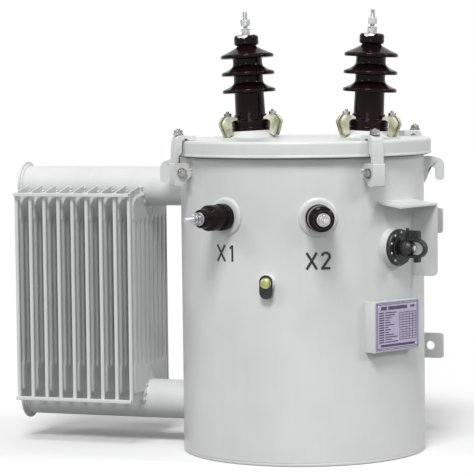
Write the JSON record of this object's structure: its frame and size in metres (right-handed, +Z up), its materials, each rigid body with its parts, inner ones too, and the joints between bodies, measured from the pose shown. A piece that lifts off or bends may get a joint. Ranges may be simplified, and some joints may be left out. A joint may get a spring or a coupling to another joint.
{
  "type": "pole mounted transformer",
  "caption": "Upright oil-filled tank with clamped lid, high-voltage bushings on top, low-voltage bushings in front, plate-fin side radiator, tap changer handle and pole lugs.",
  "frame": {"origin": "centre of the tank's flat underside, on the surface that it stands on", "axes": "+Z up; -Y is the front with the low-voltage bushings; -X is the radiator; +Y is the back with the pole lugs"},
  "size_m": [0.9931, 0.6683, 0.9764],
  "materials": {
    "tank_paint": "satin",
    "porcelain": "gloss",
    "yellow_zinc": "zinc plated",
    "bright_steel": "zinc plated",
    "black_plastic": "satin",
    "plate_aluminium": "printed"
  },
  "bodies": {
    "transformer": {"earth_bolt": "yellow_zinc", "earth_boss": "tank_paint", "earth_plate": "black_plastic", "header_caps": "tank_paint", "header_lower": "tank_paint", "header_upper": "tank_paint", "hv_bushing_left": "porcelain", "hv_bushing_right": "porcelain", "hv_clamp_studs": "yellow_zinc", "hv_clamps_left": "yellow_zinc", "hv_clamps_right": "yellow_zinc", "hv_pads": "tank_paint", "hv_terminals": "bright_steel", "lid_clamp_arms": "tank_paint", "lid_clamp_bolts": "bright_steel", "lid_clamp_ears": "tank_paint", "lid_clamp_pivots": "bright_steel", "lifting_hook_left": "tank_paint", "lifting_hook_right": "tank_paint", "lv_bushing_1": "porcelain", "lv_bushing_2": "porcelain", "lv_collars": "tank_paint", "lv_terminals": "bright_steel", "nameplate": "plate_aluminium", "nameplate_holder": "tank_paint", "pole_lugs_lower": "tank_paint", "pole_lugs_upper": "tank_paint", "radiator_fin_1": "tank_paint", "radiator_fin_2": "tank_paint", "radiator_fin_3": "tank_paint", "radiator_fin_4": "tank_paint", "radiator_fin_5": "tank_paint", "radiator_fin_6": "tank_paint", "radiator_fin_7": "tank_paint", "radiator_fin_8": "tank_paint", "radiator_fin_9": "tank_paint", "tank_base": "tank_paint", "tank_lid": "tank_paint", "tank_wall": "tank_paint", "tap_boss": "tank_paint", "tap_dial": "black_plastic", "tap_hood_side": "tank_paint", "tap_hood_top": "tank_paint", "tie_bars": "tank_paint"},
    "handle": {"tap_handle": "black_plastic", "tap_screw": "bright_steel"}
  },
  "joints": [
    {"name": "tap_changer", "type": "hinge", "parent": "transformer", "child": "handle", "pos_m": [0.25975, -0.12669, 0.4615], "axis": [0.8988, -0.4384, 0], "range_deg": [0, 144]}
  ]
}
